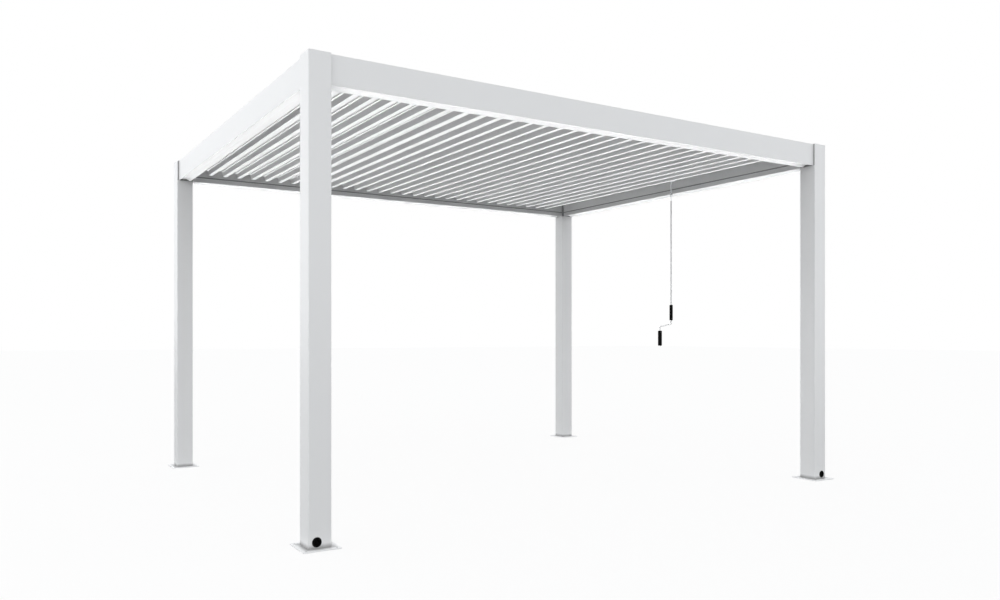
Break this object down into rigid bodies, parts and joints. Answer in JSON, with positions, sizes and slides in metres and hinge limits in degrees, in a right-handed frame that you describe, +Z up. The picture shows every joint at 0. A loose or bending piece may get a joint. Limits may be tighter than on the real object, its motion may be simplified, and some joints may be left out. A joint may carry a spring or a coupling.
{
  "type": "louvred roof pergola",
  "caption": "Free-standing rectangular pergola on square posts, with a flat roof of tilting louvre blades worked by a hanging hand crank.",
  "frame": {"origin": "on the ground at the middle of the plan", "axes": "+Z up, +X along the long side towards the crank, +Y along the short side and the louvres, so -Y is the front seen in the picture"},
  "size_m": [4.08, 3.08, 2.4616],
  "materials": {
    "white_frame": "satin",
    "white_louvre": "satin",
    "link_metal": "satin",
    "gearbox_case": "satin",
    "bright_steel": "satin",
    "rod_metal": "satin",
    "black_plastic": "matte"
  },
  "bodies": {
    "frame": {"posts": "white_frame", "post_caps": "white_frame", "base_plates": "white_frame", "drain_outlets": "black_plastic", "long_beams": "white_frame", "short_beams": "white_frame", "flashings": "white_frame", "gearbox": "gearbox_case"},
    "louvre_01": {"louvre_01": "white_louvre"},
    "louvre_02": {"louvre_02": "white_louvre"},
    "louvre_03": {"louvre_03": "white_louvre"},
    "louvre_04": {"louvre_04": "white_louvre"},
    "louvre_05": {"louvre_05": "white_louvre"},
    "louvre_06": {"louvre_06": "white_louvre"},
    "louvre_07": {"louvre_07": "white_louvre"},
    "louvre_08": {"louvre_08": "white_louvre"},
    "louvre_09": {"louvre_09": "white_louvre"},
    "louvre_10": {"louvre_10": "white_louvre"},
    "louvre_11": {"louvre_11": "white_louvre"},
    "louvre_12": {"louvre_12": "white_louvre"},
    "louvre_13": {"louvre_13": "white_louvre"},
    "louvre_14": {"louvre_14": "white_louvre"},
    "louvre_15": {"louvre_15": "white_louvre"},
    "louvre_16": {"louvre_16": "white_louvre"},
    "louvre_17": {"louvre_17": "white_louvre"},
    "louvre_18": {"louvre_18": "white_louvre"},
    "louvre_19": {"louvre_19": "white_louvre"},
    "louvre_20": {"louvre_20": "white_louvre"},
    "louvre_21": {"louvre_21": "white_louvre"},
    "louvre_22": {"louvre_22": "white_louvre"},
    "louvre_23": {"louvre_23": "white_louvre"},
    "louvre_24": {"louvre_24": "white_louvre"},
    "louvre_25": {"louvre_25": "white_louvre"},
    "louvre_26": {"louvre_26": "white_louvre"},
    "louvre_27": {"louvre_27": "white_louvre"},
    "louvre_28": {"louvre_28": "white_louvre"},
    "louvre_29": {"louvre_29": "white_louvre"},
    "louvre_30": {"louvre_30": "white_louvre"},
    "link_bar": {"link_bar": "link_metal"},
    "drive_lever": {"drive_lever": "link_metal"},
    "eye": {"eye": "bright_steel"},
    "crank_rod": {"crank_rod": "rod_metal"},
    "upper_grip": {"upper_grip": "black_plastic"},
    "lower_grip": {"lower_grip": "black_plastic"}
  },
  "joints": [
    {"name": "eye_turn", "type": "hinge", "parent": "frame", "child": "eye", "pos_m": [1.855, -0.137, 2.393], "axis": [0, 0, 1], "range_deg": [0, 1800]},
    {"name": "louvre_01_tilt", "type": "hinge", "parent": "frame", "child": "louvre_01", "pos_m": [-1.709, 0, 2.369], "axis": [0, -1, 0], "range_deg": [0, 90]},
    {"name": "louvre_02_tilt", "type": "hinge", "parent": "frame", "child": "louvre_02", "pos_m": [-1.5917, 0, 2.369], "axis": [0, -1, 0], "range_deg": [0, 90]},
    {"name": "louvre_03_tilt", "type": "hinge", "parent": "frame", "child": "louvre_03", "pos_m": [-1.4744, 0, 2.369], "axis": [0, -1, 0], "range_deg": [0, 90]},
    {"name": "louvre_04_tilt", "type": "hinge", "parent": "frame", "child": "louvre_04", "pos_m": [-1.3571, 0, 2.369], "axis": [0, -1, 0], "range_deg": [0, 90]},
    {"name": "louvre_05_tilt", "type": "hinge", "parent": "frame", "child": "louvre_05", "pos_m": [-1.2398, 0, 2.369], "axis": [0, -1, 0], "range_deg": [0, 90]},
    {"name": "louvre_06_tilt", "type": "hinge", "parent": "frame", "child": "louvre_06", "pos_m": [-1.1225, 0, 2.369], "axis": [0, -1, 0], "range_deg": [0, 90]},
    {"name": "louvre_07_tilt", "type": "hinge", "parent": "frame", "child": "louvre_07", "pos_m": [-1.0052, 0, 2.369], "axis": [0, -1, 0], "range_deg": [0, 90]},
    {"name": "louvre_08_tilt", "type": "hinge", "parent": "frame", "child": "louvre_08", "pos_m": [-0.8879, 0, 2.369], "axis": [0, -1, 0], "range_deg": [0, 90]},
    {"name": "louvre_09_tilt", "type": "hinge", "parent": "frame", "child": "louvre_09", "pos_m": [-0.7706, 0, 2.369], "axis": [0, -1, 0], "range_deg": [0, 90]},
    {"name": "louvre_10_tilt", "type": "hinge", "parent": "frame", "child": "louvre_10", "pos_m": [-0.6533, 0, 2.369], "axis": [0, -1, 0], "range_deg": [0, 90]},
    {"name": "louvre_11_tilt", "type": "hinge", "parent": "frame", "child": "louvre_11", "pos_m": [-0.536, 0, 2.369], "axis": [0, -1, 0], "range_deg": [0, 90]},
    {"name": "louvre_12_tilt", "type": "hinge", "parent": "frame", "child": "louvre_12", "pos_m": [-0.4187, 0, 2.369], "axis": [0, -1, 0], "range_deg": [0, 90]},
    {"name": "louvre_13_tilt", "type": "hinge", "parent": "frame", "child": "louvre_13", "pos_m": [-0.3014, 0, 2.369], "axis": [0, -1, 0], "range_deg": [0, 90]},
    {"name": "louvre_14_tilt", "type": "hinge", "parent": "frame", "child": "louvre_14", "pos_m": [-0.1841, 0, 2.369], "axis": [0, -1, 0], "range_deg": [0, 90]},
    {"name": "louvre_15_tilt", "type": "hinge", "parent": "frame", "child": "louvre_15", "pos_m": [-0.0668, 0, 2.369], "axis": [0, -1, 0], "range_deg": [0, 90]},
    {"name": "louvre_16_tilt", "type": "hinge", "parent": "frame", "child": "louvre_16", "pos_m": [0.0505, 0, 2.369], "axis": [0, -1, 0], "range_deg": [0, 90]},
    {"name": "louvre_17_tilt", "type": "hinge", "parent": "frame", "child": "louvre_17", "pos_m": [0.1678, 0, 2.369], "axis": [0, -1, 0], "range_deg": [0, 90]},
    {"name": "louvre_18_tilt", "type": "hinge", "parent": "frame", "child": "louvre_18", "pos_m": [0.2851, 0, 2.369], "axis": [0, -1, 0], "range_deg": [0, 90]},
    {"name": "louvre_19_tilt", "type": "hinge", "parent": "frame", "child": "louvre_19", "pos_m": [0.4024, 0, 2.369], "axis": [0, -1, 0], "range_deg": [0, 90]},
    {"name": "louvre_20_tilt", "type": "hinge", "parent": "frame", "child": "louvre_20", "pos_m": [0.5197, 0, 2.369], "axis": [0, -1, 0], "range_deg": [0, 90]},
    {"name": "louvre_21_tilt", "type": "hinge", "parent": "frame", "child": "louvre_21", "pos_m": [0.637, 0, 2.369], "axis": [0, -1, 0], "range_deg": [0, 90]},
    {"name": "louvre_22_tilt", "type": "hinge", "parent": "frame", "child": "louvre_22", "pos_m": [0.7543, 0, 2.369], "axis": [0, -1, 0], "range_deg": [0, 90]},
    {"name": "louvre_23_tilt", "type": "hinge", "parent": "frame", "child": "louvre_23", "pos_m": [0.8716, 0, 2.369], "axis": [0, -1, 0], "range_deg": [0, 90]},
    {"name": "louvre_24_tilt", "type": "hinge", "parent": "frame", "child": "louvre_24", "pos_m": [0.9889, 0, 2.369], "axis": [0, -1, 0], "range_deg": [0, 90]},
    {"name": "louvre_25_tilt", "type": "hinge", "parent": "frame", "child": "louvre_25", "pos_m": [1.1062, 0, 2.369], "axis": [0, -1, 0], "range_deg": [0, 90]},
    {"name": "louvre_26_tilt", "type": "hinge", "parent": "frame", "child": "louvre_26", "pos_m": [1.2235, 0, 2.369], "axis": [0, -1, 0], "range_deg": [0, 90]},
    {"name": "louvre_27_tilt", "type": "hinge", "parent": "frame", "child": "louvre_27", "pos_m": [1.3408, 0, 2.369], "axis": [0, -1, 0], "range_deg": [0, 90]},
    {"name": "louvre_28_tilt", "type": "hinge", "parent": "frame", "child": "louvre_28", "pos_m": [1.4581, 0, 2.369], "axis": [0, -1, 0], "range_deg": [0, 90]},
    {"name": "louvre_29_tilt", "type": "hinge", "parent": "frame", "child": "louvre_29", "pos_m": [1.5754, 0, 2.369], "axis": [0, -1, 0], "range_deg": [0, 90]},
    {"name": "louvre_30_tilt", "type": "hinge", "parent": "frame", "child": "louvre_30", "pos_m": [1.6927, 0, 2.369], "axis": [0, -1, 0], "range_deg": [0, 90]},
    {"name": "link_bar_pivot", "type": "hinge", "parent": "louvre_15", "child": "link_bar", "pos_m": [0.0132, -0.0965, 2.414], "axis": [0, -1, 0], "range_deg": [-90, 0]},
    {"name": "drive_lever_turn", "type": "hinge", "parent": "frame", "child": "drive_lever", "pos_m": [1.805, -0.11, 2.408], "axis": [0, -1, 0], "range_deg": [0, 90]},
    {"name": "crank_swing", "type": "hinge", "parent": "eye", "child": "crank_rod", "pos_m": [1.855, -0.137, 2.276], "axis": [0, 1, 0], "range_deg": [-45, 45]},
    {"name": "upper_grip_spin", "type": "hinge", "parent": "crank_rod", "child": "upper_grip", "pos_m": [1.855, -0.137, 1.2475], "axis": [0, 0, 1], "continuous": true},
    {"name": "lower_grip_spin", "type": "hinge", "parent": "crank_rod", "child": "lower_grip", "pos_m": [1.77134, -0.08791, 1.0255], "axis": [0, 0, 1], "continuous": true}
  ],
  "couplings": [
    {"joint": "louvre_01_tilt", "follows": "eye_turn", "ratio": 0.05},
    {"joint": "louvre_02_tilt", "follows": "eye_turn", "ratio": 0.05},
    {"joint": "louvre_03_tilt", "follows": "eye_turn", "ratio": 0.05},
    {"joint": "louvre_04_tilt", "follows": "eye_turn", "ratio": 0.05},
    {"joint": "louvre_05_tilt", "follows": "eye_turn", "ratio": 0.05},
    {"joint": "louvre_06_tilt", "follows": "eye_turn", "ratio": 0.05},
    {"joint": "louvre_07_tilt", "follows": "eye_turn", "ratio": 0.05},
    {"joint": "louvre_08_tilt", "follows": "eye_turn", "ratio": 0.05},
    {"joint": "louvre_09_tilt", "follows": "eye_turn", "ratio": 0.05},
    {"joint": "louvre_10_tilt", "follows": "eye_turn", "ratio": 0.05},
    {"joint": "louvre_11_tilt", "follows": "eye_turn", "ratio": 0.05},
    {"joint": "louvre_12_tilt", "follows": "eye_turn", "ratio": 0.05},
    {"joint": "louvre_13_tilt", "follows": "eye_turn", "ratio": 0.05},
    {"joint": "louvre_14_tilt", "follows": "eye_turn", "ratio": 0.05},
    {"joint": "louvre_15_tilt", "follows": "eye_turn", "ratio": 0.05},
    {"joint": "louvre_16_tilt", "follows": "eye_turn", "ratio": 0.05},
    {"joint": "louvre_17_tilt", "follows": "eye_turn", "ratio": 0.05},
    {"joint": "louvre_18_tilt", "follows": "eye_turn", "ratio": 0.05},
    {"joint": "louvre_19_tilt", "follows": "eye_turn", "ratio": 0.05},
    {"joint": "louvre_20_tilt", "follows": "eye_turn", "ratio": 0.05},
    {"joint": "louvre_21_tilt", "follows": "eye_turn", "ratio": 0.05},
    {"joint": "louvre_22_tilt", "follows": "eye_turn", "ratio": 0.05},
    {"joint": "louvre_23_tilt", "follows": "eye_turn", "ratio": 0.05},
    {"joint": "louvre_24_tilt", "follows": "eye_turn", "ratio": 0.05},
    {"joint": "louvre_25_tilt", "follows": "eye_turn", "ratio": 0.05},
    {"joint": "louvre_26_tilt", "follows": "eye_turn", "ratio": 0.05},
    {"joint": "louvre_27_tilt", "follows": "eye_turn", "ratio": 0.05},
    {"joint": "louvre_28_tilt", "follows": "eye_turn", "ratio": 0.05},
    {"joint": "louvre_29_tilt", "follows": "eye_turn", "ratio": 0.05},
    {"joint": "louvre_30_tilt", "follows": "eye_turn", "ratio": 0.05},
    {"joint": "drive_lever_turn", "follows": "eye_turn", "ratio": 0.05},
    {"joint": "link_bar_pivot", "follows": "eye_turn", "ratio": -0.05}
  ]
}
